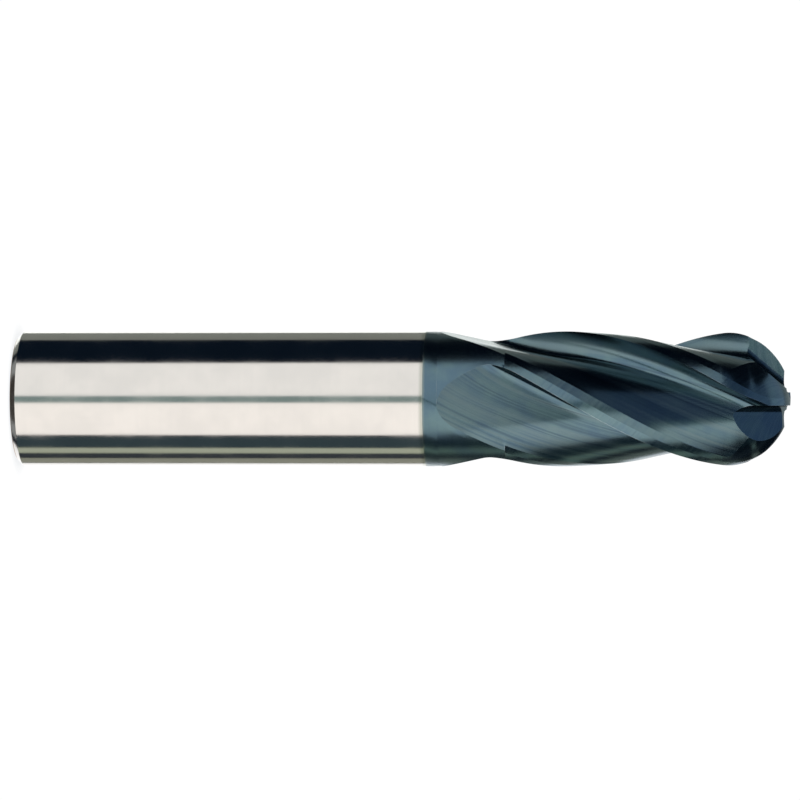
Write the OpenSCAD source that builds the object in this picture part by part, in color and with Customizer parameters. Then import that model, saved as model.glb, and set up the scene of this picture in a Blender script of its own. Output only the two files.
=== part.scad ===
// Four flute ball nose end mill, ground from one solid carbide rod and coated at the cutting end.
// Right hand cut, thirty degree right hand helix, plain cylindrical shank.
// Millimetres. +Z runs along the tool, from the flat rear face of the shank to the cutting tip.
// Origin: centre of the rear face. Angles are measured about +Z from +X, and the helix
// turns counter-clockwise as z grows.
// The tool is one piece. Its parts here are the zones a toolmaker names: the bare shank, the
// coated neck with the flute run-outs, the core, and the four teeth.

/* [Blank] */
// diameter of the shank and of the cutting end
tool_d = 16; // [6:0.5:25]
// overall length, rear face to tip
tool_l = 92; // [60:0.5:150]
// height where the coating begins
coat_z = 48.9; // [30:0.1:70]
// chamfer at the rear end, at 45 degrees
rear_chamfer = 0.7; // [0.2:0.1:1.5]
// how much slimmer the neck's radius is where the teeth begin
neck_taper = 0.01; // [0.005:0.005:0.05]

/* [Helix] */
// helix angle of the flutes, from the axis
helix_angle = 30; // [20:1:50]
// height where the relief behind the cutting edges begins
relief_z = 58.5; // [50:0.1:80]
// direction of the first tooth at that height
first_turn = -118; // [-180:1:180]

/* [Flute section] */
// radius of the core that is left between the flutes
core_r = 4.7; // [2:0.1:7]
// skin of tooth that lies over the core at the bottom of a flute
floor_skin = 0.05; // [0.02:0.01:0.2]
// how far the rake face curves under the edge
rake_hook = 0.62; // [0:0.02:1.2]
// where the rake face meets the root, from the axis
rake_foot = 5.1; // [3:0.1:7]
// width of the flat floor of the flute
floor_w = 2.9; // [1:0.1:5]
// how far the back of the tooth bulges, measured at its middle
heel_out = 5.0; // [3:0.1:7]

/* [Relief] */
// angle taken up by the primary land
primary_angle = 8.7; // [3:0.1:15]
// angle taken up by both lands
land_angle = 22.4; // [10:0.1:40]
// how far the primary land falls below the edge at its far side
primary_drop = 0.1; // [0.02:0.01:0.3]
// how far the secondary land falls below the edge at its far side
land_drop = 0.4; // [0.1:0.01:0.8]

/* [Flute wheel] */
// radius of the wheel that grinds the flutes
wheel_r = 115; // [30:1:150]
// width of the wheel
wheel_w = 9.4; // [4:0.1:14]
// taper of the wheel's rim, in mm of radius for each mm of width
wheel_taper = 0.3; // [0:0.02:0.8]
// angle of the wheel from the axis of the tool
wheel_tilt = 29.5; // [20:0.5:45]
// how far the wheel's flat side stands behind the cutting edge
wheel_side = -1.5; // [-3:0.01:1]
// how far the wheel's middle stands ahead of the edge, in degrees
wheel_lead = 14.5; // [5:0.5:40]
// where the wheel stops, above the start of the relief
wheel_stop = 7.5; // [0:0.1:15]

/* [Ball end gashes] */
// how far ahead of the axis the long teeth are gashed
long_ahead = 0.78; // [0:0.02:1.5]
// how far below the tip the root of a long gash would reach the axis
long_depth = -0.4; // [-3:0.1:3]
// angle of a long gash from the axis
long_angle = 34.4; // [20:0.2:60]
// slope of the floor of a long gash across the tool
long_slope = 7.2; // [0:0.2:45]
// how far below the tip the cut beside the web reaches the axis
web_depth = 0.8; // [0.2:0.1:3]
// angle of the cut beside the web from the axis
web_angle = 78; // [60:1:90]
// slope of the floor of the cut beside the web
web_slope = 3; // [0:1:45]
// how far ahead of the axis the short teeth are gashed
short_ahead = -0.3; // [-0.5:0.05:1]
// how far below the tip the root of a short gash would reach the axis
short_depth = -1; // [-3:0.1:3]
// angle of a short gash from the axis
short_angle = 40; // [15:1:60]
// slope of the floor of a short gash across the tool
short_slope = 0; // [0:1:45]

/* [Hidden] */
tool_r = tool_d / 2;
tooth_n = 4;
pitch = 360 / tooth_n;
lead = PI * tool_d / tan(helix_angle);
ball_z = tool_l - tool_r;
floor_r = core_r + floor_skin;
bare = "LightSteelBlue";
coat = "SlateGray";
$fn = 96;

// ---- the helix and the cross-section ----

// direction of the first cutting edge at height z
function edge_turn(z) = first_turn + 360 * (z - relief_z) / lead;

function polar(r, a) = [r * cos(a), r * sin(a)];

function radius_of(p) = norm(p);

function angle_of(p) = atan2(p[1], p[0]);

// a smooth bend from a to c that leaves and arrives along the lines through b
function bend(a, b, c, t) = (1 - t) * (1 - t) * a + 2 * t * (1 - t) * b + t * t * c;

// how far the relieved surface lies below the cutting circle, t degrees behind the edge
function drop(t) =
    t < primary_angle
    ? primary_drop * t / primary_angle
    : primary_drop + (land_drop - primary_drop) * (t - primary_angle) / (land_angle - primary_angle);

// rake face, from the root up to the edge, which lies on +X
rake = [for (i = [0:4])
    bend([rake_foot, 0.05], [(rake_foot + tool_r) / 2, -rake_hook], [tool_r, 0], i / 4)];

// the two lands behind the edge
lands = [for (a = [primary_angle / 2, primary_angle, (primary_angle + land_angle) / 2, land_angle])
    polar(tool_r - drop(a), -a)];

// back of the tooth, turned by one pitch, from the land down to the floor of the next flute
heel_top = polar(tool_r - land_drop, pitch - land_angle);
heel = [for (i = [1:4])
    bend(heel_top, [core_r - 0.3, heel_out], [floor_r, floor_w], i / 4)];

// root fillet between the floor and the rake face of the next tooth
root = [for (i = [0:3])
    bend([floor_r, 0.9], [floor_r, 0.3], [rake_foot, 0.05], i / 3)];

function turned(p, a) = [p[0] * cos(a) - p[1] * sin(a), p[0] * sin(a) + p[1] * cos(a)];

// outline of one tooth from its own root to the root behind it, edge on +X
outline = concat(rake, lands, [for (p = concat(heel, root)) turned(p, -pitch)]);

// radius of the ball at height z, with the relief t degrees behind the edge
function ball_r(z, t) =
    z <= ball_z
    ? tool_r
    : sqrt(max(0, pow(tool_r - drop(max(0, t)), 2) - pow(z - ball_z, 2)));

// one outline point at height z, kept inside the ball and outside the core
function tooth_point(p, z) =
    polar(max(floor_r, min(radius_of(p), ball_r(z, -angle_of(p)))), angle_of(p));

// heights of the sections: even along the flutes, closer on the ball
top_angle = acos((floor_r + 0.04) / tool_r);
levels = concat(
    [for (i = [0:24]) relief_z + (ball_z - relief_z) * i / 24],
    [for (i = [1:12]) ball_z + tool_r * sin(top_angle * i / 12)]);

// foot of the outline on the core, walked back from the far root to the near one
foot_first = angle_of(outline[len(outline) - 1]);
foot_last = foot_first + pitch;
foot_n = 8;
function foot_angle(i) = foot_first + (foot_last - foot_first) * i / foot_n;
feet = [for (i = [0:foot_n]) polar(core_r, foot_angle(i))];

// ---- solids built from rings of points ----

// side and end faces of a stack of rings, n points in each
function ring_faces(n, m) = concat(
    [for (j = [0:m - 2]) for (i = [0:n - 1]) [j * n + i, (j + 1) * n + i, j * n + (i + 1) % n]],
    [for (j = [0:m - 2]) for (i = [0:n - 1])
        [(j + 1) * n + i, (j + 1) * n + (i + 1) % n, j * n + (i + 1) % n]],
    [[for (i = [0:n - 1]) i]],
    [[for (i = [0:n - 1]) m * n - 1 - i]]);

module stack(rings) {
    n = len(rings[0]);
    polyhedron(
        points = [for (ring = rings) for (p = ring) p],
        faces = ring_faces(n, len(rings)),
        convexity = 8);
}

function ring_at(points, z, a) = [for (p = points) [each turned(p, a), z]];

// a tooth before it is gashed
module whole_tooth(k) {
    stack([for (z = levels)
        ring_at(
            [each [for (p = [for (i = [len(outline) - 1:-1:0]) outline[i]]) tooth_point(p, z)],
             each [for (i = [foot_n:-1:0]) feet[i]]],
            z,
            edge_turn(z) + pitch * (k - 1))]);
}

// ---- gashes that open the ball end ----

// wedge with one side along the plane ahead of the axis and the other along its sloped floor;
// the edge it serves lies on +X
module gash(ahead, depth, angle, slope) {
    reach = 3 * tool_r;
    translate([0, ahead, tool_l - depth])
        rotate([0, -angle, 0])
        translate([0, 0, -reach / 2])
        linear_extrude(height = reach)
        polygon([[0, 0], [reach, 0], [reach, reach], [reach * sin(slope), reach * cos(slope)]]);
}

module gashes() {
    for (side = [0, 180]) {
        rotate([0, 0, 90 + side]) gash(long_ahead, long_depth, long_angle, long_slope);
        rotate([0, 0, 90 + side]) gash(long_ahead, web_depth, web_angle, web_slope);
        rotate([0, 0, side]) gash(short_ahead, short_depth, short_angle, short_slope);
    }
}

// ---- sub-parts ----

// ground cylindrical shank that the holder grips, with its rear chamfer
module shank() {
    color(bare)
        rotate_extrude()
        polygon([
            [0, 0],
            [tool_r - rear_chamfer, 0],
            [tool_r, rear_chamfer],
            [tool_r, coat_z],
            [0, coat_z]
        ]);
}

// one position of the flute wheel, its lowest point at height z
module wheel_at(z) {
    rotate([0, 0, edge_turn(z) + wheel_lead])
        translate([core_r + wheel_r, 0, z])
        rotate([-90 - wheel_tilt, 0, 0])
        translate([0, 0, wheel_side])
        cylinder(r1 = wheel_r, r2 = wheel_r - wheel_taper * wheel_w, h = wheel_w, $fn = 360);
}

// coated cylinder that carries the run-outs of the four flutes
module coated_neck() {
    color(coat)
        difference() {
            translate([0, 0, coat_z])
                cylinder(r1 = tool_r, r2 = tool_r - neck_taper, h = relief_z - coat_z);
            for (k = [0:tooth_n - 1])
                rotate([0, 0, pitch * k]) {
                    wheel_at(relief_z + wheel_stop);
                    wheel_at(relief_z + wheel_stop + 2);
                    wheel_at(relief_z + wheel_stop + 4);
                }
        }
}

// web left between the flutes, ending in the middle of the ball
module core() {
    rim = [for (k = [0:tooth_n - 1]) for (i = [0:foot_n - 1]) foot_angle(i) + pitch * k];
    cap_z = levels[len(levels) - 1];
    cap_angle = asin((cap_z - ball_z) / tool_r);
    cap = [for (i = [1:7])
        let (a = cap_angle + (89 - cap_angle) * i / 7)
        [min(core_r, tool_r * cos(a)), ball_z + tool_r * sin(a)]];
    sections = concat([for (z = levels) [core_r, z]], cap);
    color(coat)
        resize([0, 0, 0])
        difference() {
            stack([for (s = sections)
                ring_at(
                    [for (i = [len(rim) - 1:-1:0]) polar(s[0], rim[i])],
                    s[1],
                    edge_turn(s[1]))]);
            gashes();
        }
}

module tooth(k) {
    color(coat)
        resize([0, 0, 0])
        difference() {
            whole_tooth(k);
            gashes();
        }
}

// short tooth, its edge facing +X at the tip
module tooth_1() {
    tooth(1);
}

// long tooth, its edge facing +Y at the tip
module tooth_2() {
    tooth(2);
}

// short tooth, its edge facing -X at the tip
module tooth_3() {
    tooth(3);
}

// long tooth, its edge facing -Y at the tip
module tooth_4() {
    tooth(4);
}

shank();
coated_neck();
core();
tooth_1();
tooth_2();
tooth_3();
tooth_4();
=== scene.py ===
# %% [markdown]
# # A ball nose end mill
# An end mill is ground from one rod of tungsten carbide. The rear half stays bare, because a
# collet grips it, and the front half is fluted and then coated with a thin dark nitride film.
# This lesson rebuilds the cutting end the way the grinder made it, from the paths of its wheels,
# and then gives every surface the marks that its own wheel left.

# %% Load the frame
import math
import bmesh
import bpy
import numpy as np
from mathutils import Matrix, Vector


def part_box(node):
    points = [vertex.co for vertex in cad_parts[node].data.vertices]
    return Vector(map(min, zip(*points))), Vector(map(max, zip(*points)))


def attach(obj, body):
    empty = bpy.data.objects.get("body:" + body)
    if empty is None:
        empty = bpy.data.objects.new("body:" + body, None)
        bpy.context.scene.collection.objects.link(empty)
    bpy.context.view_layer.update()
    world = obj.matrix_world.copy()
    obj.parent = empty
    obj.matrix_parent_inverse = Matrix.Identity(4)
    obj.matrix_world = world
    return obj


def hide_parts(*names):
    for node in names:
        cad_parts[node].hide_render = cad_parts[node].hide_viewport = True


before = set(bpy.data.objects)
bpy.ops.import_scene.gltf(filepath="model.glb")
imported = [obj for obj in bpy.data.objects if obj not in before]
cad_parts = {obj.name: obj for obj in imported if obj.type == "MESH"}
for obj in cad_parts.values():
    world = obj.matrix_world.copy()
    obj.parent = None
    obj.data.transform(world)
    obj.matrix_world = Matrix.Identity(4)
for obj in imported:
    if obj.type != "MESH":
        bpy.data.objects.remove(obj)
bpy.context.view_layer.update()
print("CAD nodes:", sorted(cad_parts))

# %% [markdown]
# The design works in millimetres, and Blender's scene is in metres. Every length below is kept
# in millimetres until the moment a mesh is made. The main heights are read from the boxes of the
# CAD parts, so that the looks follow the design if it changes.

# %% Main sizes
MM = 0.001


def foot_of(part):
    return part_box(part)[0].z / MM


def top_of(part):
    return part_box(part)[1].z / MM


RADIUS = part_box("shank")[1].x / MM
COAT_Z = foot_of("coated_neck")
RELIEF_Z = top_of("coated_neck")
TIP_Z = top_of("core")
BALL_Z = TIP_Z - RADIUS
# rear chamfer of the shank, and the radius of the solid core between the flutes
CHAMFER = 0.7
CORE = 4.7
# helix angle, the turn it gives for each mm of height, and the first edge's angle at RELIEF_Z
HELIX = math.radians(30)
TURN = math.tan(HELIX) / RADIUS
FIRST = math.radians(-118)
print(f"radius {RADIUS:.2f}, coat {COAT_Z:.1f}, relief {RELIEF_Z:.1f}, tip {TIP_Z:.2f} mm")

# %% [markdown]
# A flute isn't modelled as a groove with a drawn section. On the real tool it is the space that
# a spinning wheel swept while the rod moved along and turned under it. So the section of the
# flute comes from the wheel: a disc with a slightly tapered rim and one rounded corner, set
# nearly parallel to the helix. The clearance function below is positive inside the space that
# the wheel has cleared. Where the wheel stops, its own round shape is left as the run-out.

# %% The flute wheel
WHEEL = {
    "radius": 114.5,
    "tilt": math.radians(29.4),
    "width": 9.35,
    # how far the wheel's flat side stands from the tool's axis, on the side of the rake face
    "side": -1.50,
    # the rim is level for this width, and then tapers by this much for each mm
    "flat": 0.86,
    "taper": 0.33,
    # radius of its rounded corner, which forms the root under the rake face
    "corner": 1.44,
    # angle by which the wheel's middle runs ahead of the edge, and the height where it stops
    "lead": math.radians(14.55),
    "stop": RELIEF_Z + 7.5,
}
print(f"wheel of {2 * WHEEL['radius']:.0f} mm, stopped at {WHEEL['stop']:.1f} mm")

# %% What the wheel has cleared
# height to each side that a pass of the wheel touches, and the rise from one pass to the next
WHEEL_REACH = 13
PASS = 0.3


def cleared(x, y, z):
    """Clearance in mm at points of a section, x along the edge's radius, largest over all passes."""
    w = WHEEL
    start = max(w["stop"], float(np.min(z)) - WHEEL_REACH)
    passes = np.arange(start, max(start, float(np.max(z)) + WHEEL_REACH) + 0.01, PASS)
    rise = passes[None, :] - np.asarray(z).reshape(-1, 1)
    turn = TURN * rise + w["lead"]
    c, s = np.cos(turn), np.sin(turn)
    x, y = np.asarray(x).reshape(-1, 1), np.asarray(y).reshape(-1, 1)
    out = x * c + y * s
    side = -x * s + y * c
    ct, st = math.cos(w["tilt"]), math.sin(w["tilt"])
    across = side * ct + rise * st - w["side"]
    along = side * st - rise * ct
    rim = w["radius"] - w["taper"] * np.clip(across - w["flat"], 0, None)
    k = w["corner"]
    inner = np.clip(across, 0, k)
    rim = rim - np.where(across < k, k - np.sqrt(np.clip(k * k - (k - inner) ** 2, 0, None)), 0)
    gap = rim - np.hypot(out - CORE - w["radius"], along)
    gap = np.minimum(gap, np.where(across < 0, across, 1e9))
    gap = np.minimum(gap, w["width"] - across)
    return gap.max(axis=1)


probe = cleared([CORE - 0.5, RADIUS], [0.0, 0.0], [BALL_Z, BALL_Z])
print(f"clearance {probe[0]:.2f} mm inside the core, {probe[1]:.2f} mm at the cutting edge")


# %% Where the flutes run out
def first_height():
    """Height where the run-out of a flute begins."""
    angles = np.radians(np.arange(-10, 100, 0.5))
    a, b = COAT_Z, RELIEF_Z
    for _ in range(24):
        m = (a + b) / 2
        hit = cleared(RADIUS * np.cos(angles), RADIUS * np.sin(angles), np.full(len(angles), m)).max()
        a, b = (a, m) if hit > 0 else (m, b)
    return b


RUNOUT_Z = first_height()
print(f"the flutes run out at {RUNOUT_Z:.2f} mm")

# %% [markdown]
# Behind each cutting edge the tooth is ground lower, so that only the edge touches the work. The
# first 1.2 mm is the primary land, with a shallow fall, and the rest falls away faster. On the
# ball the same two lands follow the round edge, and halfway up it the second is steeper. Near the
# tip the edge is no longer the helix but the flat face of the gash, so there the distance behind
# the edge is counted from that face.

# %% Fall of the two lands
PRIMARY = 1.2
FIRST_SLOPE = 0.083
FIRST_DROP = 0.1
SECOND_SLOPE = 0.16


def fall(s):
    """How far the surface lies below the cutting circle, s mm behind the edge."""
    s = np.clip(s, 0, None)
    return np.where(s < PRIMARY, FIRST_SLOPE * s, FIRST_DROP + SECOND_SLOPE * (s - PRIMARY))


print(f"fall 1 mm behind the edge {float(fall(1)):.3f} mm, 4 mm behind it {float(fall(4)):.3f} mm")


# %% Distance behind a gash face
AHEAD_LONG = 0.78
AHEAD_SHORT = -0.3


def smooth(x, a, b):
    """Nought below a, one above b, with a smooth change between them."""
    t = np.clip((x - a) / (b - a), 0, 1)
    return t * t * (3 - 2 * t)


def behind_gash(x, y):
    """Distance behind the nearest gash face, from a point's place near the tip."""
    m = smooth(y, -0.3, 0.3)
    long_s = (1 - m) * (AHEAD_LONG - x) + m * (AHEAD_LONG + x)
    short_s = np.where(x > 0, AHEAD_SHORT - y, AHEAD_SHORT + y)
    long_s = np.where(long_s > -0.35, np.clip(long_s, 0, None), 99)
    short_s = np.where(short_s > -0.35, np.clip(short_s, 0, None), 99)
    return np.minimum(long_s, short_s)


print(f"2 mm behind a long face: {float(behind_gash(2 - AHEAD_LONG, 3.0)):.2f} mm")


# %% A point of the relieved blank
# the second land is steeper by this much, over a stretch of the ball that begins and ends softly
STEEPER_SLOPE = 0.10
STEEPER_START = (0.3, 2.6)
STEEPER_END = (3.4, 6.6)
# height on the ball over which the gash faces take over from the helix
TAKE_OVER = (3.3, 4.6)


def blank_point(turn, level, lag, on_ball):
    """World x, y and z. level is a height on the body, and an angle above BALL_Z on the ball.

    lag is the angle behind the edge ahead.
    """
    if on_ball:
        c, s = math.cos(level), math.sin(level)
        r = RADIUS * c
        x, y = r * np.cos(turn), r * np.sin(turn)
        w = smooth(BALL_Z + RADIUS * s, BALL_Z + TAKE_OVER[0], BALL_Z + TAKE_OVER[1])
        d = (1 - w) * r * np.sin(np.clip(lag, 0, math.pi / 2)) + w * behind_gash(x, y)
        rise = RADIUS * s
        steeper = STEEPER_SLOPE * smooth(rise, *STEEPER_START) * (1 - smooth(rise, *STEEPER_END))
        steeper = steeper * np.clip(d - PRIMARY, 0, 4)
        q = (RADIUS - fall(d) - steeper) / RADIUS
        return x * q, y * q, BALL_Z + RADIUS * s * q
    r = np.full(np.shape(lag), RADIUS)
    if level > RELIEF_Z:
        r = RADIUS - fall(RADIUS * np.sin(np.clip(lag, 0, math.pi / 2)))
    return r * np.cos(turn), r * np.sin(turn), np.full(np.shape(lag), float(level))


heel_point = blank_point(np.array([0.0]), BALL_Z, np.array([0.5]), False)
print(f"radius half a radian behind the edge {heel_point[0][0]:.3f} mm")

# %% [markdown]
# The cutting end is built as rings, one above the other. Each ring is cut in four sectors, and a
# sector has the same number of points at every height: first across the flute, from the rake
# face over the root to the heel, and then across the two lands to the next edge. Because the
# columns of points follow the sharp edges exactly, the edges come out crisp.

# %% Borders of a flute
ACROSS_FLUTE = 56
ACROSS_SECOND = 7
ACROSS_PRIMARY = 5
QUARTER = math.pi / 2
SCAN = np.radians(np.arange(-12, 96, 0.5))


def crossing(value, a, b, steps=22):
    """Where value(t) turns from not positive at a to positive at b."""
    for _ in range(steps):
        m = (a + b) / 2
        a, b = (a, m) if value(m) > 0 else (m, b)
    return (a + b) / 2


def borders(on_circle, on_blank):
    """Angles of a flute's lip and heel, or None where it isn't open.

    The two functions give the clearance on the cutting circle and on the relieved blank.
    """
    is_open = on_circle(SCAN) > 0
    heel_open = on_blank(SCAN[SCAN < QUARTER - 0.03]) > 0
    if not is_open.any() or not heel_open.any():
        return None
    i = int(np.argmax(is_open))
    lip = crossing(lambda t: on_circle(t)[0], SCAN[i - 1], SCAN[i]) if i else SCAN[0]
    j = len(heel_open) - 1 - int(np.argmax(heel_open[::-1]))
    heel = -crossing(lambda t: on_blank(-t)[0], -SCAN[j + 1], -SCAN[j])
    return lip, heel


print("points in a sector:", ACROSS_FLUTE + ACROSS_SECOND + ACROSS_PRIMARY)

# %% [markdown]
# The wall of a flute is found by looking at it. From a point just outside the mouth of the flute,
# rays fan out from the lip to the heel, and each is followed until the clearance ends. Rays from
# the tool's axis wouldn't do: they would run almost along the rake face and hit it too rarely.

# %% Wall of a flute
# how far outside the tool the eye is, its place between lip and heel, and the depths it tries
EYE_OUT = 0.7
EYE_SHARE = 0.42
LOOK = np.linspace(0.0, 9.5, 40)


def flute_wall(p, q, lip, heel, z, heel_z):
    """Points of the wall from lip p to heel q, in the frame of the tooth's edge."""
    eye_turn = lip + (heel - lip) * EYE_SHARE
    eye = (RADIUS + EYE_OUT) * np.array([math.cos(eye_turn), math.sin(eye_turn)])
    t0, t1 = [math.atan2(*(g - eye)[::-1]) for g in (p, q)]
    t0, t1 = t0 % (2 * math.pi), t1 % (2 * math.pi)
    t = np.linspace(t0, t1, ACROSS_FLUTE + 1)
    f = np.linspace(0, 1, ACROSS_FLUTE + 1)
    h = z + (heel_z - z) * f
    gx = eye[0] + LOOK[None, :] * np.cos(t)[:, None]
    gy = eye[1] + LOOK[None, :] * np.sin(t)[:, None]
    gap = cleared(gx.ravel(), gy.ravel(), np.repeat(h, len(LOOK))).reshape(gx.shape)
    hit = np.argmax(gap <= 0, axis=1)
    a, b = LOOK[np.maximum(hit - 1, 0)], LOOK[hit]
    for _ in range(14):
        m = (a + b) / 2
        inside = cleared(eye[0] + m * np.cos(t), eye[1] + m * np.sin(t), h) > 0
        a, b = np.where(inside, m, a), np.where(inside, b, m)
    u, v = eye[0] + a * np.cos(t), eye[1] + a * np.sin(t)
    u[0], v[0], u[-1], v[-1] = p[0], p[1], q[0], q[1]
    return u, v, h


print(f"each wall is looked at along {ACROSS_FLUTE + 1} rays, up to {LOOK[-1]:.1f} mm deep")


# %% One sector of a ring
def sector(level, on_ball, k, last):
    """Points of sector k in the world frame, and the angles of its lip and heel."""
    z = BALL_Z + RADIUS * math.sin(level) if on_ball else level
    r0 = RADIUS * math.cos(level) if on_ball else RADIUS
    edge = FIRST + TURN * (z - RELIEF_Z) + k * QUARTER
    c, s = math.cos(edge), math.sin(edge)

    def blank(a):
        a = np.atleast_1d(a)
        return blank_point(a + edge, level, QUARTER - a, on_ball)

    def own(x, y):
        """World to the frame of this tooth's edge."""
        return x * c + y * s, -x * s + y * c

    def on_circle(a):
        a = np.atleast_1d(a)
        u, v = own(r0 * np.cos(a + edge), r0 * np.sin(a + edge))
        return cleared(u, v, z + 0 * u)

    def on_blank(a):
        x, y, h = blank(a)
        u, v = own(x, y)
        return cleared(u, v, h)

    found = borders(on_circle, on_blank) if z > RUNOUT_Z else None
    lip, heel = found or last
    if found:
        p = np.array([r0 * math.cos(lip), r0 * math.sin(lip)])
        hx, hy, hz = blank(heel)
        u, v, h = flute_wall(p, own(hx[0], hy[0]), lip, heel, z, hz[0])
        x, y = u * c - v * s, u * s + v * c
    else:
        x, y, h = blank(np.linspace(lip, heel, ACROSS_FLUTE + 1))
    wide = math.asin(min(1.0, PRIMARY / max(r0, 1e-6)))
    wide = min(wide, (QUARTER - heel) * 0.6)
    a = np.concatenate([
        np.linspace(heel, QUARTER - wide, ACROSS_SECOND + 1)[1:],
        np.linspace(QUARTER - wide, QUARTER + lip, ACROSS_PRIMARY + 1)[1:-1],
    ])
    bx, by, bh = blank(a)
    ring = np.stack([np.append(x, bx), np.append(y, by), np.append(h, bh)], axis=-1)
    return ring, (lip, heel)


_, (lip, heel) = sector(BALL_Z, False, 0, (0.0, 0.0))
print(f"at the foot of the ball a flute spans {math.degrees(heel - lip):.1f} degrees")

# %% [markdown]
# The rings are closest where the shape changes fastest: at the pointed start of the run-outs, and
# on the ball. The relief begins in a small step, so two rings lie only 0.03 mm apart there. Only
# two of the four sectors are worked out, and a half turn gives the other two.

# %% Heights of the rings
NECK_RINGS = 46
BODY_RINGS = 112
BALL_RINGS = 76
STEP = 0.03
neck = RUNOUT_Z + (RELIEF_Z - RUNOUT_Z) * np.linspace(0, 1, NECK_RINGS) ** 2
body = np.linspace(RELIEF_Z + STEP, BALL_Z, BODY_RINGS)[:-1]
levels = [(COAT_Z, False), ((COAT_Z + RUNOUT_Z) / 2, False)]
levels += [(float(z), False) for z in neck]
levels += [(float(z), False) for z in body]
levels += [(float(a), True) for a in np.radians(np.linspace(0, 90, BALL_RINGS))]
print("heights:", len(levels))


# %% Stack the rings
def start_angle():
    """Angle behind the edge at which a run-out begins, as a point, on the first open ring."""
    angles = np.radians(np.arange(-10, 100, 0.05))
    open_now = cleared(
        RADIUS * np.cos(angles), RADIUS * np.sin(angles), np.full(len(angles), RUNOUT_Z + 1e-3))
    return float(angles[int(np.argmax(open_now))])


apex = start_angle()
rings = []
places = {k: (apex, apex) for k in range(2)}
for level, on_ball in levels:
    half = []
    for k in range(2):
        pts, places[k] = sector(level, on_ball, k, places[k])
        half.append(pts)
    half = np.concatenate(half)
    other = half * np.array([-1, -1, 1])
    rings.append(np.concatenate([half, other]))
rings = np.array(rings)
print("rings:", rings.shape[0], "points in a ring:", rings.shape[1])

# %% [markdown]
# The rings become one closed skin. Each face is given the number of its zone, because every zone
# was ground by another wheel and will carry other marks: the plain neck, the flutes and the two
# lands. The small step where the relief begins is counted with the neck. The zones also say where
# the skin is sharp: an edge between two zones is always a ground corner.

# %% Skin of the cutting end
NECK, FLUTE, FIRST_LAND, SECOND_LAND, GASH = range(5)


def ring_skin(name, rings, zones):
    """Closed mesh from rings of equal length; zones(i, j) gives the zone of each face."""
    m, n = rings.shape[:2]
    verts = rings.reshape(-1, 3) * MM
    faces = []
    marks = []
    for j in range(m - 1):
        for i in range(n):
            a, b = j * n + i, j * n + (i + 1) % n
            faces.append((a, b, b + n, a + n))
            marks.append(zones(i, j))
    faces.append(tuple(range(n))[::-1])
    marks.append(NECK)
    mesh = bpy.data.meshes.new(name)
    mesh.from_pydata([tuple(v) for v in verts], [], faces)
    mesh.polygons.foreach_set("material_index", marks)
    bm = bmesh.new()
    bm.from_mesh(mesh)
    bmesh.ops.remove_doubles(bm, verts=bm.verts, dist=2e-7)
    bmesh.ops.dissolve_degenerate(bm, edges=bm.edges, dist=1e-8)
    bmesh.ops.recalc_face_normals(bm, faces=bm.faces)
    open_edges = sum(len(e.link_faces) != 2 for e in bm.edges)
    bm.to_mesh(mesh)
    bm.free()
    part = bpy.data.objects.new(name, mesh)
    bpy.context.scene.collection.objects.link(part)
    print(f"{name}: {len(mesh.polygons)} faces, {open_edges} open edges")
    return part


def zone_of(i, j):
    k = i % (rings.shape[1] // 4)
    if levels[j + 1][0] <= RELIEF_Z and not levels[j][1]:
        return FLUTE if k < ACROSS_FLUTE and levels[j][0] >= RUNOUT_Z else NECK
    if k < ACROSS_FLUTE:
        return FLUTE
    if levels[j][0] == RELIEF_Z:
        return NECK
    return SECOND_LAND if k < ACROSS_FLUTE + ACROSS_SECOND else FIRST_LAND


cutting_end = ring_skin("cutting_end", rings, zone_of)

# %% [markdown]
# The ball is opened by four gashes, cut with the corner of a thin wheel. One side of the gash
# becomes the straight rake face of the ball's edge, and the other is a sloped floor. The two
# long teeth are gashed just short of the axis, so they meet in a thin web at the tip. A second,
# shallow cut beside each long tooth leaves that web standing a little proud. The two short teeth
# are gashed behind the axis. Each cut is a wedge with a rounded corner, taken away with an exact
# boolean, which keeps the new corners sharp.

# %% One wedge
def gash_wedge(name, ahead, root_z, angle, slope, corner, reach, turn):
    """Wedge with its rounded corner along the root line. The edge it serves lies along turn.

    angle is how steeply the root line falls away from the tip, and slope tilts the floor.
    """
    floor_way = np.array([math.sin(slope), math.cos(slope)])
    open_angle = math.pi / 2 - slope
    back = corner / math.tan(open_angle / 2)
    centre = np.array([back, corner])
    start = -math.pi / 2
    sweep = math.pi - open_angle
    arc = [centre + corner * np.array([math.cos(start - sweep * t), math.sin(start - sweep * t)])
           for t in np.linspace(0, 1, 9)]
    section = [(reach, 0.0)] + [tuple(p) for p in arc] + [tuple(floor_way * reach), (reach, reach)]
    along = np.array([-math.sin(angle), 0.0, math.cos(angle)])
    out = np.array([math.cos(angle), 0.0, math.sin(angle)])
    verts = []
    for end in (-reach, reach):
        for a, b in section:
            p = np.array([0.0, ahead, root_z]) + a * out + b * np.array([0, 1.0, 0]) + end * along
            c, s = math.cos(turn), math.sin(turn)
            verts.append((p[0] * c - p[1] * s, p[0] * s + p[1] * c, p[2]))
    n = len(section)
    faces = [(i, (i + 1) % n, (i + 1) % n + n, i + n) for i in range(n)]
    faces += [tuple(range(n))[::-1], tuple(range(n, 2 * n))]
    mesh = bpy.data.meshes.new(name)
    mesh.from_pydata([tuple(np.array(v) * MM) for v in verts], [], faces)
    bm = bmesh.new()
    bm.from_mesh(mesh)
    bmesh.ops.recalc_face_normals(bm, faces=bm.faces)
    bm.to_mesh(mesh)
    bm.free()
    wedge = bpy.data.objects.new(name, mesh)
    bpy.context.scene.collection.objects.link(wedge)
    return wedge


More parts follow.
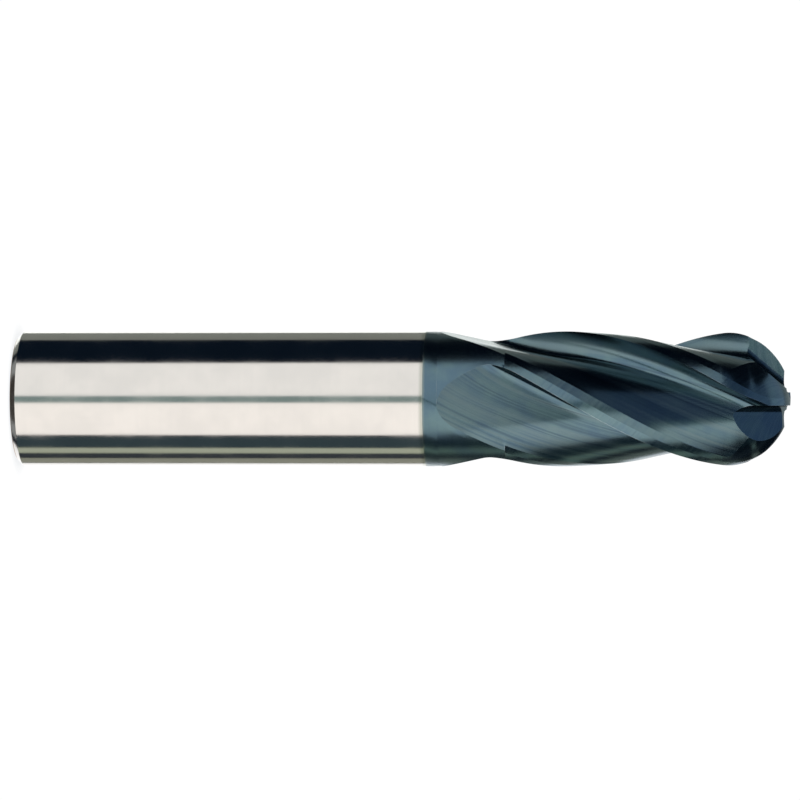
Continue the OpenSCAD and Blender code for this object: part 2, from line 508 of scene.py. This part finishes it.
# %% The six wedges
# name, place ahead of the axis, height of the root line at the axis, its angle, slope of the
# floor, radius of the corner and length of the wedge
GASHES = [
    ("long", AHEAD_LONG, TIP_Z + 0.4, math.radians(34.4), math.radians(7.2), 1.1, 14.0),
    ("web", AHEAD_LONG, TIP_Z - 0.8, math.radians(78), math.radians(3), 0.25, 9.0),
    ("short", AHEAD_SHORT, TIP_Z + 1.0, math.radians(40), 0.0, 0.8, 12.0),
]
SLOTS = ["neck", "flute", "first_land", "second_land", "gash"]
for slot_name in SLOTS:
    cutting_end.data.materials.append(bpy.data.materials.new(slot_name))
wedges = []
for kind, *sizes in GASHES:
    for side in (0, 1):
        turn = math.pi * side + (0 if kind == "short" else math.pi / 2)
        wedge = gash_wedge(f"{kind}_gash_{side}", *sizes, turn)
        for slot_name in SLOTS:
            wedge.data.materials.append(bpy.data.materials[slot_name])
        wedge.data.polygons.foreach_set("material_index", [GASH] * len(wedge.data.polygons))
        wedges.append(wedge)
print("wedges:", [w.name for w in wedges])

# %% Cut the gashes
for wedge in wedges:
    cut = cutting_end.modifiers.new(wedge.name, "BOOLEAN")
    cut.operation = "DIFFERENCE"
    cut.solver = "EXACT"
    cut.object = wedge
graph = bpy.context.evaluated_depsgraph_get()
done = bpy.data.meshes.new_from_object(cutting_end.evaluated_get(graph))
cutting_end.modifiers.clear()
old = cutting_end.data
cutting_end.data = done
bpy.data.meshes.remove(old)
for wedge in wedges:
    bpy.data.objects.remove(wedge)
print("faces after the cuts:", len(done.polygons))

# %% [markdown]
# Smooth shading would blur the ground corners, so every corner is marked sharp: between two
# zones, and wherever two faces meet at more than 32 degrees. Normals weighted by area then keep
# the large flat faces flat, right up to the corner.

# %% Sharp corners of the cutting end
SHARP = math.radians(32)
bm = bmesh.new()
bm.from_mesh(done)
bmesh.ops.remove_doubles(bm, verts=bm.verts, dist=1e-7)
bmesh.ops.dissolve_degenerate(bm, edges=bm.edges, dist=1e-8)
sharp = 0
for e in bm.edges:
    zones = {f.material_index for f in e.link_faces}
    e.smooth = len(e.link_faces) == 2 and len(zones) == 1 and e.calc_face_angle(0) < SHARP
    sharp += not e.smooth
for f in bm.faces:
    f.smooth = True
print("open edges:", sum(len(e.link_faces) != 2 for e in bm.edges), "sharp edges:", sharp)
bm.to_mesh(done)
bm.free()
even = cutting_end.modifiers.new("even_normals", "WEIGHTED_NORMAL")
even.keep_sharp = True
even.weight = 50
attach(cutting_end, "root")
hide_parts("coated_neck", "core", "tooth_1", "tooth_2", "tooth_3", "tooth_4")
print("cutting end:", len(done.polygons), "faces")

# %% [markdown]
# The shank is a profile turned round the axis. Its corners show how well it was ground: the rear
# chamfer is crisp, with only a few hundredths of a millimetre broken away.

# %% Profile with rounded corners
def rounded(corners, radii, steps=6):
    """Profile with its inner corners replaced by short arcs."""
    out = [corners[0]]
    for a, b, c, r in zip(corners, corners[1:], corners[2:], radii):
        a, b, c = np.array(a), np.array(b), np.array(c)
        u, v = (a - b) / np.linalg.norm(a - b), (c - b) / np.linalg.norm(c - b)
        half = math.acos(float(np.clip(u @ v, -1, 1))) / 2
        back = r / math.tan(half)
        p, q = b + u * back, b + v * back
        for t in np.linspace(0, 1, steps):
            out.append(tuple((1 - t) ** 2 * p + 2 * t * (1 - t) * b + t * t * q))
    return out + [corners[-1]]


edge = RADIUS - CHAMFER
# the profile stops this far from the axis, and a single point closes it
CENTRE = 0.02
profile = rounded(
    [(CENTRE, 0.0), (edge, 0.0), (RADIUS, CHAMFER), (RADIUS, COAT_Z)], [0.06, 0.05])
profile = [(0.6, 0.0), (3.5, 0.0)] + profile[1:] + [(CENTRE, COAT_Z)]
print("profile points:", len(profile))


# %% The shank
def lathe(name, profile, around=256):
    """Closed mesh from a profile of radius and height, turned round the Z axis."""
    mesh = bpy.data.meshes.new(name)
    verts, faces = [(0, 0, profile[0][1] * MM)], []
    for r, z in profile:
        for i in range(around):
            a = 2 * math.pi * i / around
            verts.append((r * math.cos(a) * MM, r * math.sin(a) * MM, z * MM))
    verts.append((0, 0, profile[-1][1] * MM))
    top = len(verts) - 1
    for i in range(around):
        k = (i + 1) % around
        faces.append((0, 1 + k, 1 + i))
        for j in range(len(profile) - 1):
            a = 1 + j * around
            faces.append((a + i, a + k, a + around + k, a + around + i))
        a = 1 + (len(profile) - 1) * around
        faces.append((a + i, a + k, top))
    mesh.from_pydata(verts, [], faces)
    mesh.polygons.foreach_set("use_smooth", [True] * len(mesh.polygons))
    mesh.set_sharp_from_angle(angle=math.radians(40))
    part = bpy.data.objects.new(name, mesh)
    bpy.context.scene.collection.objects.link(part)
    return part


shank = lathe("ground_shank", profile)
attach(shank, "root")
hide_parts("shank")
print("shank:", len(shank.data.polygons), "faces")

# %% [markdown]
# The finishes are made of shader nodes. A few short helpers keep that readable: one makes a node
# and links its inputs, and the others are for sums, a smooth ramp and a mix of two colours. An
# input is given either a value or the output of another node, and the helper sees which it is.

# %% Node helpers
def join(tree, target, source):
    """Give an input a value, or link it to another node's output."""
    if isinstance(source, bpy.types.NodeSocket):
        tree.links.new(source, target)
    else:
        target.default_value = source


def new_group(name, ins, outs):
    """Node group with named float, colour or vector sockets; returns tree, inputs and outputs."""
    tree = bpy.data.node_groups.new(name, "ShaderNodeTree")
    for direction, sockets in (("INPUT", ins), ("OUTPUT", outs)):
        for label, kind, value in sockets:
            s = tree.interface.new_socket(label, in_out=direction, socket_type="NodeSocket" + kind)
            if value is not None:
                s.default_value = value
    return tree, tree.nodes.new("NodeGroupInput"), tree.nodes.new("NodeGroupOutput")


def node(tree, kind, links=(), **settings):
    """A node with its settings, and links given as (input name or index, source socket or value)."""
    n = tree.nodes.new("ShaderNode" + kind)
    for key, value in settings.items():
        setattr(n, key, value)
    for target, source in links:
        join(tree, n.inputs[target], source)
    return n


def maths(tree, operation, a, b=0.0):
    return node(tree, "Math", [(0, a), (1, b)], operation=operation).outputs[0]


def ramp(tree, value, low, high, to_low=0.0, to_high=1.0):
    """A value that goes from to_low to to_high while the given one goes from low to high."""
    n = node(tree, "MapRange", [(0, value), (1, low), (2, high), (3, to_low), (4, to_high)])
    n.interpolation_type = "SMOOTHSTEP"
    return n.outputs[0]


def mix(tree, factor, a, b):
    """Colour a where factor is nought, and colour b where it is one."""
    n = node(tree, "Mix", data_type="RGBA")
    for target, source in ((0, factor), (6, a), (7, b)):
        join(tree, n.inputs[target], source)
    return n.outputs[2]


print("helpers: new_group, node, maths, ramp, mix")

# %% [markdown]
# Every finish on this tool is a set of fine lines left by a wheel. What differs is their
# direction: round the shank, along the helix in the flutes, and across the lands. The lines are
# made once as a node group, which stretches noise along the line and squeezes it across. Each
# material gives it the place of the point and the number of lines in each direction.

# %% Grinding lines
lines_group, gi, go = new_group(
    "grinding_lines", [("Place", "Vector", None), ("Scale", "Vector", (1, 1, 1))],
    [("Height", "Float", None), ("Tone", "Float", None)])
t = lines_group
place = node(t, "VectorMath", [(0, gi.outputs["Place"]), (1, gi.outputs["Scale"])],
             operation="MULTIPLY").outputs[0]
fine = node(t, "TexNoise", [("Vector", place), ("Scale", 1.0), ("Detail", 4.0), ("Roughness", 0.62)])
broad = node(t, "TexNoise", [("Vector", place), ("Scale", 0.18), ("Detail", 3.0), ("Roughness", 0.6)])
deep_cut = ramp(t, fine.outputs[0], 0.62, 0.74)
height = maths(t, "SUBTRACT", fine.outputs[0], maths(t, "MULTIPLY", deep_cut, 0.5))
tone = maths(t, "ADD", maths(t, "MULTIPLY", broad.outputs[0], 0.35),
             maths(t, "MULTIPLY", fine.outputs[0], 0.65))
t.links.new(height, go.inputs["Height"])
t.links.new(tone, go.inputs["Tone"])
print("group:", lines_group.name)

# %% [markdown]
# The lines need directions to run in. From the plain position in millimetres come three sets of
# coordinates. In "Round" the first runs along the axis, so lines squeezed in it go round the
# tool. In "Helix" the twist is taken out, so that a flute runs straight up the third, and the
# first two are the cosine and sine of the straightened angle, which have no seam. In "Cross" the
# first runs across the lands at the helix angle. They are plain nodes in each material, because
# a group should put out only what is seen on the surface.

# %% Place on the tool
def place_on_tool(tree):
    """Output sockets for the three sets of coordinates and for the height in mm."""
    here = node(tree, "TexCoord").outputs["Object"]
    here = node(tree, "VectorMath", [(0, here), (3, 1 / MM)], operation="SCALE").outputs[0]
    x, y, z = node(tree, "SeparateXYZ", [(0, here)]).outputs
    r = maths(tree, "SQRT", maths(tree, "ADD", maths(tree, "MULTIPLY", x, x), maths(tree, "MULTIPLY", y, y)))
    turned = maths(tree, "MULTIPLY", maths(tree, "SUBTRACT", z, RELIEF_Z), -TURN)
    straight = node(tree, "VectorRotate", [("Vector", here), ("Axis", (0, 0, 1)), ("Angle", turned)])
    s = node(tree, "SeparateXYZ", [(0, straight.outputs[0])])
    angle = maths(tree, "ARCTAN2", s.outputs[1], s.outputs[0])
    arc = maths(tree, "MULTIPLY", angle, RADIUS)
    across = maths(tree, "ADD", z, maths(tree, "MULTIPLY", arc, math.tan(HELIX)))
    sets = {
        "Round": (z, x, y),
        "Helix": (maths(tree, "COSINE", angle), maths(tree, "SINE", angle), z),
        "Cross": (across, arc, r),
    }
    place = {name: node(tree, "CombineXYZ", list(enumerate(axes))).outputs[0]
             for name, axes in sets.items()}
    place["Height"] = z
    return place


print(f"the twist taken out is {math.degrees(TURN):.2f} degrees for each mm")

# %% [markdown]
# Sharp corners on a coated tool never keep an even film: the edges are honed before coating, and
# the film there is thinner, so the paler carbide shows through. The same mask also paints a bright
# edge highlight, a thin line of light along every corner, on the bare shank as well as on the film.
# The mask compares the true normal with one rounded over a few hundredths of a millimetre, which
# differs only near a corner. Noise then breaks the mask up, because wear is never even.

# %% Worn edges and painted edge highlights
# mask of worn film at corners, which also paints a bright edge highlight
edge_wear_and_highlight_group, gi, go = new_group(
    "worn_edges", [("Width", "Float", 0.06), ("Place", "Vector", None)], [("Mask", "Float", None)])
t = edge_wear_and_highlight_group
wide = maths(t, "MULTIPLY", gi.outputs["Width"], MM)
bevel = node(t, "Bevel", [("Radius", wide)], samples=6)
true = node(t, "NewGeometry").outputs["Normal"]
same = node(t, "VectorMath", [(0, bevel.outputs[0]), (1, true)], operation="DOT_PRODUCT")
turn_away = maths(t, "SUBTRACT", 1.0, same.outputs["Value"])
patch = node(t, "TexNoise", [("Vector", gi.outputs["Place"]), ("Scale", 3.0), ("Detail", 5.0)])
mask = maths(t, "MULTIPLY", ramp(t, turn_away, 0.01, 0.12), ramp(t, patch.outputs[0], 0.25, 0.7, 0.4))
t.links.new(mask, go.inputs["Mask"])
print("group:", edge_wear_and_highlight_group.name)

# %% [markdown]
# The shank is cylindrical ground and then polished until it mirrors its surroundings. What is
# left of the grinding is a very fine set of rings, together with faint cloudy wipes. Just behind
# the coating a green-grey tint fades out where the film thinned, and the rear rim has a brown one.
# A metal's colour is the colour of its reflections, so Metallic is one and the base colour light.
# The corners are made paler by the edge mask, which is a painted edge highlight.

# %% Material helpers
def material(name):
    """A material of that name with an empty node tree, and the tree."""
    m = bpy.data.materials.get(name) or bpy.data.materials.new(name)
    m.use_nodes = True
    m.node_tree.nodes.clear()
    return m, m.node_tree


def use(tree, group_tree, links=()):
    """Place a node group in a material, with its own values."""
    n = tree.nodes.new("ShaderNodeGroup")
    n.node_tree = group_tree
    for target, source in links:
        join(tree, n.inputs[target], source)
    return n


print("materials so far:", [m.name for m in bpy.data.materials if m.name in SLOTS])

# %% Bare carbide
SILVER = (0.60, 0.585, 0.565, 1)
BRIGHT = (0.66, 0.64, 0.615, 1)
RING_GREY = (0.50, 0.50, 0.50, 1)
THIN_FILM = (0.30, 0.33, 0.28, 1)
CORNER_HIGHLIGHT = (0.75, 0.73, 0.70, 1)
RIM_BROWN = (0.40, 0.22, 0.12, 1)
bare, t = material("bare_carbide")
place = place_on_tool(t)
rings_of = use(t, lines_group, [("Place", place["Round"]), ("Scale", (16, 0.03, 0.03))])
cloud = node(t, "TexNoise", [("Vector", place["Round"]), ("Scale", 0.22), ("Detail", 4.0)])
edges = use(t, edge_wear_and_highlight_group, [("Width", 0.10), ("Place", place["Round"])])
colour = mix(t, ramp(t, cloud.outputs[0], 0.3, 0.7), SILVER, BRIGHT)
colour = mix(t, ramp(t, rings_of.outputs["Tone"], 0.35, 0.65, 0.0, 0.10), colour, RING_GREY)
wobble = maths(t, "MULTIPLY", cloud.outputs[0], 0.25)
fade = ramp(t, maths(t, "ADD", place["Height"], wobble), COAT_Z - 0.45, COAT_Z + 0.1)
colour = mix(t, maths(t, "MULTIPLY", fade, 0.65), colour, THIN_FILM)
# corners made paler by the edge mask: a painted edge highlight, as the shank has no film to wear
colour = mix(t, maths(t, "MULTIPLY", edges.outputs[0], 0.5), colour, CORNER_HIGHLIGHT)
rough = ramp(t, cloud.outputs[0], 0.35, 0.7, 0.12, 0.17)
rim = ramp(t, maths(t, "ADD", place["Height"], wobble), 0.12, 0.30, 1.0, 0.0)
colour = mix(t, maths(t, "MULTIPLY", rim, 0.8), colour, RIM_BROWN)
rough = maths(t, "ADD", rough, maths(t, "MULTIPLY", rim, 0.25))
bump = node(t, "Bump", [("Strength", 0.05), ("Distance", 0.01 * MM),
                        ("Height", rings_of.outputs["Height"])])
shader = node(t, "BsdfPrincipled", [("Base Color", colour), ("Roughness", rough),
                                    ("Metallic", 1.0), ("Normal", bump.outputs[0])])
node(t, "OutputMaterial", [("Surface", shader.outputs[0])])
shank.data.materials.append(bare)
print("material:", bare.name)

# %% [markdown]
# The film is a dark blue-grey nitride. It is less shiny than the bare carbide, because it keeps
# the lines of the ground surface under it. One function builds it for all five zones, and each
# zone gives the direction and the scale of its own wheel's lines, how deep and how rough they
# are, and how much they differ in tone. Each zone also makes the same film lighter or darker, which
# is painted light and shade: the first land is painted lighter and the second land and the flutes
# darker. Clouds of two blues, dark scratches and specks, pale worn corners that also carry a
# painted edge highlight, and a greenish border where the film begins make up the rest.

# %% Coated carbide
BLUE = (0.088, 0.150, 0.200)
TEAL = (0.118, 0.192, 0.212)
PALE = (0.165, 0.235, 0.255)
DEEP_LINE = (0.05, 0.075, 0.11, 1)
SPECK = (0.08, 0.10, 0.13, 1)
FILM_BORDER = (0.33, 0.37, 0.31, 1)
WORN_CORNER_AND_HIGHLIGHT = (0.50, 0.54, 0.56, 1)


def coated(name, way, scale, depth, rough_from, rough_to, contrast, light):
    """Material of one zone. light brightens or darkens its three blues, as painted light and shade."""
    m, t = material(name)
    place = place_on_tool(t)
    lines = use(t, lines_group, [("Place", place[way]), ("Scale", scale)])
    cloud = node(t, "TexNoise", [("Vector", place["Round"]), ("Scale", 0.35), ("Detail", 5.0)])
    speck = node(t, "TexNoise", [("Vector", place["Round"]), ("Scale", 9.0), ("Detail", 2.0)])
    edges = use(t, edge_wear_and_highlight_group, [("Width", 0.07), ("Place", place["Round"])])
    blue, teal, worn = [[c * light for c in tint] + [1] for tint in (BLUE, TEAL, PALE)]
    colour = mix(t, ramp(t, cloud.outputs[0], 0.3, 0.7), blue, teal)
    colour = mix(t, ramp(t, lines.outputs["Tone"], 0.42, 0.62, 0.0, contrast), colour, worn)
    deep = ramp(t, lines.outputs["Height"], 0.45, 0.35, 0.0, contrast * 0.6)
    colour = mix(t, deep, colour, DEEP_LINE)
    colour = mix(t, ramp(t, speck.outputs[0], 0.68, 0.78, 0.0, 0.35), colour, SPECK)
    low_edge = maths(t, "ADD", place["Height"], maths(t, "MULTIPLY", cloud.outputs[0], 0.3))
    fade = ramp(t, low_edge, COAT_Z + 0.05, COAT_Z + 0.5, 1.0, 0.0)
    colour = mix(t, maths(t, "MULTIPLY", fade, 0.6), colour, FILM_BORDER)
    # worn film at corners, which also paints a bright edge highlight
    colour = mix(t, maths(t, "MULTIPLY", edges.outputs[0], 0.7), colour, WORN_CORNER_AND_HIGHLIGHT)
    rough = ramp(t, lines.outputs["Tone"], 0.3, 0.7, rough_from, rough_to)
    bump = node(t, "Bump", [("Strength", depth), ("Distance", 0.012 * MM),
                            ("Height", lines.outputs["Height"])])
    shader = node(t, "BsdfPrincipled", [("Base Color", colour), ("Roughness", rough),
                                        ("Metallic", 1.0), ("Normal", bump.outputs[0])])
    node(t, "OutputMaterial", [("Surface", shader.outputs[0])])
    print("material:", name)


# the last number makes each zone's film lighter or darker: painted light and shade
coated("neck", "Round", (6, 0.03, 0.03), 0.01, 0.25, 0.27, 0.08, 1.0)
coated("flute", "Helix", (15, 15, 0.02), 0.35, 0.18, 0.27, 0.75, 0.95)
coated("first_land", "Cross", (5, 0.05, 0.05), 0.15, 0.19, 0.26, 0.35, 1.05)
coated("second_land", "Cross", (4, 0.05, 0.05), 0.20, 0.19, 0.28, 0.35, 0.85)
coated("gash", "Cross", (5, 0.05, 0.05), 0.15, 0.20, 0.30, 0.3, 1.0)

# %% [markdown]
# Polished metal has no look of its own: it shows the room. So the light is a tent of panels round
# the tool. Two wide flat softboxes stand before it, to the left and right of the viewer, with a
# narrow gap between them. The left one ends a little above the tool, which leaves one wall of
# each flute dark. Narrower upright cards stand at the sides and behind, and level sheets hang
# over and under it. The tent isn't seen directly, only in the metal.

# %% Light that a panel gives
def glow(name, colour, strength):
    m, t = material(name)
    light = node(t, "Emission", [("Color", (*colour, 1)), ("Strength", strength)])
    node(t, "OutputMaterial", [("Surface", light.outputs[0])])
    return m


def hang(name, verts, faces, colour, strength):
    """Put up a panel that only reflections and light see."""
    mesh = bpy.data.meshes.new(name)
    mesh.from_pydata(verts, [], faces)
    mesh.materials.append(glow(name + "_glow", colour, strength))
    p = bpy.data.objects.new(name, mesh)
    bpy.context.scene.collection.objects.link(p)
    p.visible_camera = False
    p.visible_shadow = False
    return p


# %% Upright panels
TENT = 0.6
FLAT_WITHIN = 66


def panel(name, start, end, low, high, colour, strength):
    """Upright panel between two angles from the viewer's side, negative to -X, and two heights.

    In front of the tool it is flat, and at the sides and behind it is curved round the tool.
    """
    flat = max(abs(start), abs(end)) < FLAT_WITHIN
    steps = 1 if flat else 8
    verts = []
    for i in range(steps + 1):
        a = math.radians(start + (end - start) * i / steps)
        far = TENT / math.cos(a) if flat else TENT
        for h in (low, high):
            verts.append((far * math.sin(a), -far * math.cos(a), h))
    faces = [(2 * i, 2 * i + 2, 2 * i + 3, 2 * i + 1) for i in range(steps)]
    return hang(name, verts, faces, colour, strength)


# name, two angles in degrees, two heights in metres, colour and strength
PANELS = [
    ("card_back_up", -180, -157, -0.6, 0.17, (0.97, 1.0, 0.96), 1.35),
    ("card_grey_up", -155, -122, -0.6, 0.30, (0.94, 1.0, 0.91), 0.27),
    ("soft_up", -64.5, -5, -1.05, 0.145, (1.0, 0.99, 0.97), 1.25),
    ("soft_up_rim", -64.5, -2, 0.15, 0.70, (0.62, 0.88, 1.35), 0.16),
    ("gap", -5, 6.5, -1.05, 0.38, (0.72, 0.98, 0.95), 0.36),
    ("soft_down", 6.5, 65, -1.05, 0.38, (1.0, 0.965, 0.93), 1.40),
    ("soft_down_rim", 0, 65, 0.38, 0.48, (0.98, 0.98, 0.95), 0.70),
    ("card_slate", 67, 92, -0.5, 0.6, (0.6, 0.95, 1.12), 0.075),
    ("card_olive", 93, 107, -0.5, 0.3, (0.96, 1.05, 0.82), 0.55),
    ("card_dark", 107, 121, -0.5, 0.6, (0.75, 0.9, 1.1), 0.06),
    ("card_olive_back", 123, 144, -0.5, 0.3, (0.98, 1.02, 0.84), 0.34),
    ("card_back_down", 146, 180, -0.6, 0.17, (1.0, 1.0, 1.0), 1.3),
    ("card_back_top", 165, 220, 0.18, 0.68, (0.95, 1.05, 1.05), 0.32),
]
panels = [panel(*spec) for spec in PANELS]
print("upright panels:", len(panels))


# %% Level sheets
def sheet(name, x0, x1, y0, y1, height, colour, strength):
    """Level panel over or under the tool."""
    corners = [(x0, y0, height), (x1, y0, height), (x1, y1, height), (x0, y1, height)]
    return hang(name, corners, [(0, 1, 2, 3)], colour, strength)


# name, reach along X and along Y, height in metres, colour and strength
SHEETS = [
    ("sheet_over_front", -0.55, 0.35, -0.59, -0.02, 0.72, (0.62, 0.85, 1.3), 0.26),
    ("sheet_over_back", -0.55, 0.35, 0.0, 0.59, 0.72, (0.80, 0.95, 1.15), 0.55),
    ("sheet_under", -0.58, 0.58, -0.58, 0.58, -1.04, (0.97, 1.0, 1.0), 0.34),
    ("sheet_under_chamfer", -0.1, 0.1, 0.005, 0.09, -0.3, (1.1, 0.95, 0.85), 0.05),
]
sheets = [sheet(*spec) for spec in SHEETS]
print("level sheets:", len(sheets))

# %% [markdown]
# The tool is shown on a sheet of white acrylic that is lit from behind. Such a ground has almost
# no shadow, only a faint closing of the light where the tool touches it, which the ambient
# occlusion node gives. It is kept out of the reflections, because the tent lights the metal. The
# background is the same white, and every ray but the camera's finds it nearly black.

# %% Ground
# half its width in metres, the reach of the closing shade in mm, and its light
GROUND = 3.0
CLOSE = 2.5
GROUND_GLOW = 1.03
floor_mesh = bpy.data.meshes.new("ground")
corners = [(-GROUND, -GROUND, 0), (GROUND, -GROUND, 0), (GROUND, GROUND, 0), (-GROUND, GROUND, 0)]
floor_mesh.from_pydata(corners, [], [(0, 1, 2, 3)])
ground = bpy.data.objects.new("ground", floor_mesh)
bpy.context.scene.collection.objects.link(ground)
ground_look, t = material("backlit_acrylic")
closed = node(t, "AmbientOcclusion", [("Distance", CLOSE * MM)], samples=8)
cloud = node(t, "TexNoise", [("Scale", 2.0), ("Detail", 2.0)])
white = mix(t, ramp(t, cloud.outputs[0], 0.3, 0.7), (1.0, 1.0, 1.0, 1), (0.99, 0.995, 1.0, 1))
shade = mix(t, ramp(t, closed.outputs["AO"], 0.3, 1.0), (0.86, 0.87, 0.88, 1), white)
light = node(t, "Emission", [("Color", shade), ("Strength", GROUND_GLOW)])
node(t, "OutputMaterial", [("Surface", light.outputs[0])])
floor_mesh.materials.append(ground_look)
ground.visible_glossy = False
ground.visible_diffuse = False
print(f"ground {2 * GROUND:.0f} m wide")

# %% Background
world = bpy.data.worlds.new("studio")
bpy.context.scene.world = world
world.use_nodes = True
t = world.node_tree
t.nodes.clear()
seen = node(t, "LightPath").outputs["Is Camera Ray"]
sky = mix(t, seen, (0.004, 0.009, 0.018, 1), (GROUND_GLOW, GROUND_GLOW, GROUND_GLOW, 1))
background = node(t, "Background", [("Color", sky)])
node(t, "OutputWorld", [("Surface", background.outputs[0])])
print("background:", world.name)

# %% [markdown]
# The view is from 600 mm away with a long lens, and a little under five degrees off square, so
# that the tip is slightly nearer. The tool lies across the picture, so the camera is rolled until
# the tool's axis is level. The view transform is the plain one, so that white stays white.

# %% Camera
# MIDDLE is the height on the tool that is looked at, in mm, and SHIFT a share of the width
DISTANCE = 0.6
TILT = math.radians(4.7)
MIDDLE = 45.7
SENSOR = 36.0
LENS = 227.115
SHIFT = -0.001375
camera_data = bpy.data.cameras.new("camera")
camera = bpy.data.objects.new("camera", camera_data)
bpy.context.scene.collection.objects.link(camera)
to_camera = Vector((0, -math.cos(TILT), math.sin(TILT)))
image_up = Vector((-1, 0, 0))
image_right = image_up.cross(to_camera)
target = Vector((0.0, 0, MIDDLE * MM))
spin = Matrix((image_right, image_up, to_camera)).transposed()
camera.matrix_world = Matrix.Translation(target + to_camera * DISTANCE) @ spin.to_4x4()
camera_data.sensor_width = SENSOR
camera_data.lens = LENS
camera_data.clip_start = 0.01
camera_data.shift_y = SHIFT
bpy.context.scene.camera = camera
bpy.context.scene.view_settings.view_transform = "Standard"
print(f"lens {camera_data.lens:.0f} mm, {DISTANCE * 1000:.0f} mm from the tool")
